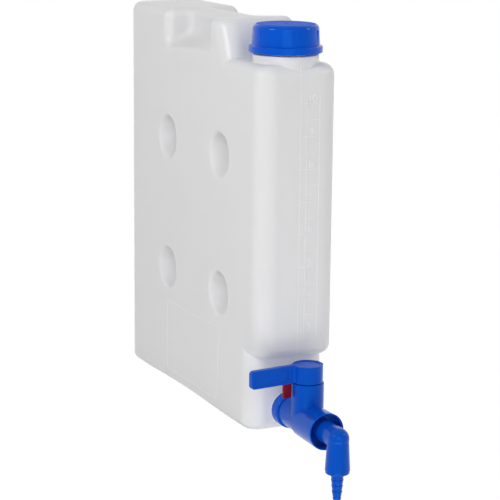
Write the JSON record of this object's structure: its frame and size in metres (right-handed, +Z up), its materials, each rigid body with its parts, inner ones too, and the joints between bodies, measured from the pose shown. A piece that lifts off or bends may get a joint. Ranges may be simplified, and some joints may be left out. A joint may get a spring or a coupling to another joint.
{
  "type": "plastic canister with tap",
  "caption": "Slim upright translucent plastic canister with side hand grips, a blue screw cap and a blue lever tap with a swivelling hose nozzle.",
  "frame": {"origin": "middle of the base on the level of its feet; the tap's nozzle hangs below this level", "axes": "+Z up, -Y towards the cap and the tap, X across the narrow width"},
  "size_m": [0.1115, 0.4545, 0.4627],
  "materials": {
    "natural_plastic": "translucent natural polyethylene, smooth with a soft sheen",
    "cap_blue": "glossy blue",
    "tap_blue": "glossy blue",
    "foam_liner": "soft white liner",
    "plug_white": "smooth white",
    "seal_rubber": "black rubber",
    "latch_red": "glossy red",
    "steel": "plain steel"
  },
  "bodies": {
    "canister_with_tap": {"canister": "natural_plastic", "tap_body": "tap_blue", "outlet_gasket": "seal_rubber", "plug_retainer": "tap_blue"},
    "liner": {"cap_seal": "foam_liner"},
    "cap": {"screw_cap": "cap_blue"},
    "lever_and_plug": {"valve_plug": "plug_white", "plug_ring_lower": "seal_rubber", "plug_ring_upper": "seal_rubber", "lever": "tap_blue", "lever_screw": "steel", "lever_cover": "tap_blue"},
    "latch": {"lever_latch": "latch_red"},
    "nozzle": {"nozzle_elbow": "tap_blue", "elbow_ring_outer": "seal_rubber", "elbow_ring_inner": "seal_rubber", "barb_washer": "seal_rubber", "hose_barb": "tap_blue"}
  },
  "joints": [
    {"name": "cap_lift", "type": "slide", "parent": "canister_with_tap", "child": "liner", "axis": [0, 0, 1], "range_m": [0, 0.012]},
    {"name": "cap_turn", "type": "hinge", "parent": "liner", "child": "cap", "pos_m": [0, -0.1395, 0.4], "axis": [0, 0, 1], "range_deg": [0, 720]},
    {"name": "lever_turn", "type": "hinge", "parent": "canister_with_tap", "child": "lever_and_plug", "pos_m": [0, -0.1995, 0.06], "axis": [0, 0, 1], "range_deg": [0, 84]},
    {"name": "latch_slide", "type": "slide", "parent": "lever_and_plug", "child": "latch", "axis": [0, 0, 1], "range_m": [0, 0.003]},
    {"name": "nozzle_swivel", "type": "hinge", "parent": "canister_with_tap", "child": "nozzle", "pos_m": [0, -0.2668, 0.022], "axis": [0, 1, 0], "range_deg": [-135, 135]}
  ],
  "couplings": [
    {"joint": "cap_lift", "follows": "cap_turn", "m_per_rad": 0.00095493}
  ]
}
